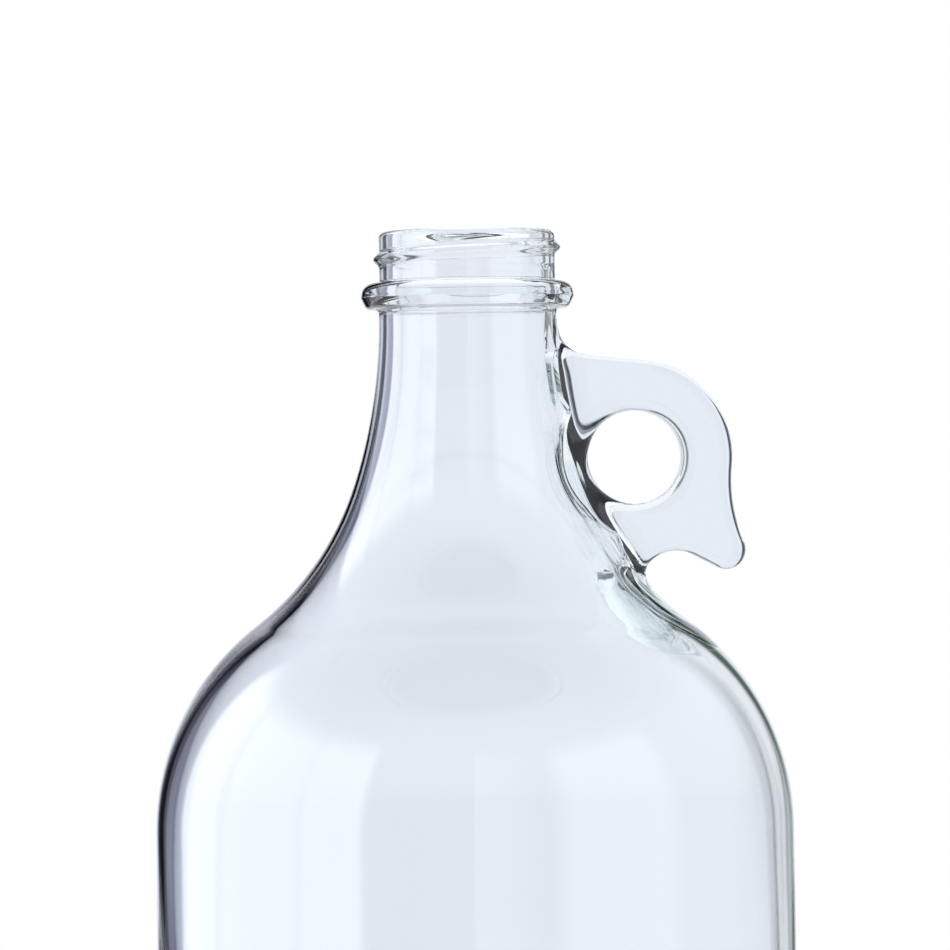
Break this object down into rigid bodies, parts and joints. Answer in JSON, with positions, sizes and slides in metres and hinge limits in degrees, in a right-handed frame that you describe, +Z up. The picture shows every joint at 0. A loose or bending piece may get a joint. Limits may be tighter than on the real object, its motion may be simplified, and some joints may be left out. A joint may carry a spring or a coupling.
{
  "type": "glass jug",
  "caption": "Clear round glass jug with a flared neck, a screw finish and a small ring handle with a thumb tail.",
  "frame": {"origin": "centre of the circle on which the base rests, on the surface the jug stands on", "axes": "+Z up the jug's axis to the mouth, +X towards the ring handle"},
  "size_m": [0.127, 0.127, 0.26],
  "materials": {
    "clear_glass": "fire-polished clear soda-lime glass"
  },
  "bodies": {
    "root": {"jug": "clear_glass"}
  },
  "joints": []
}
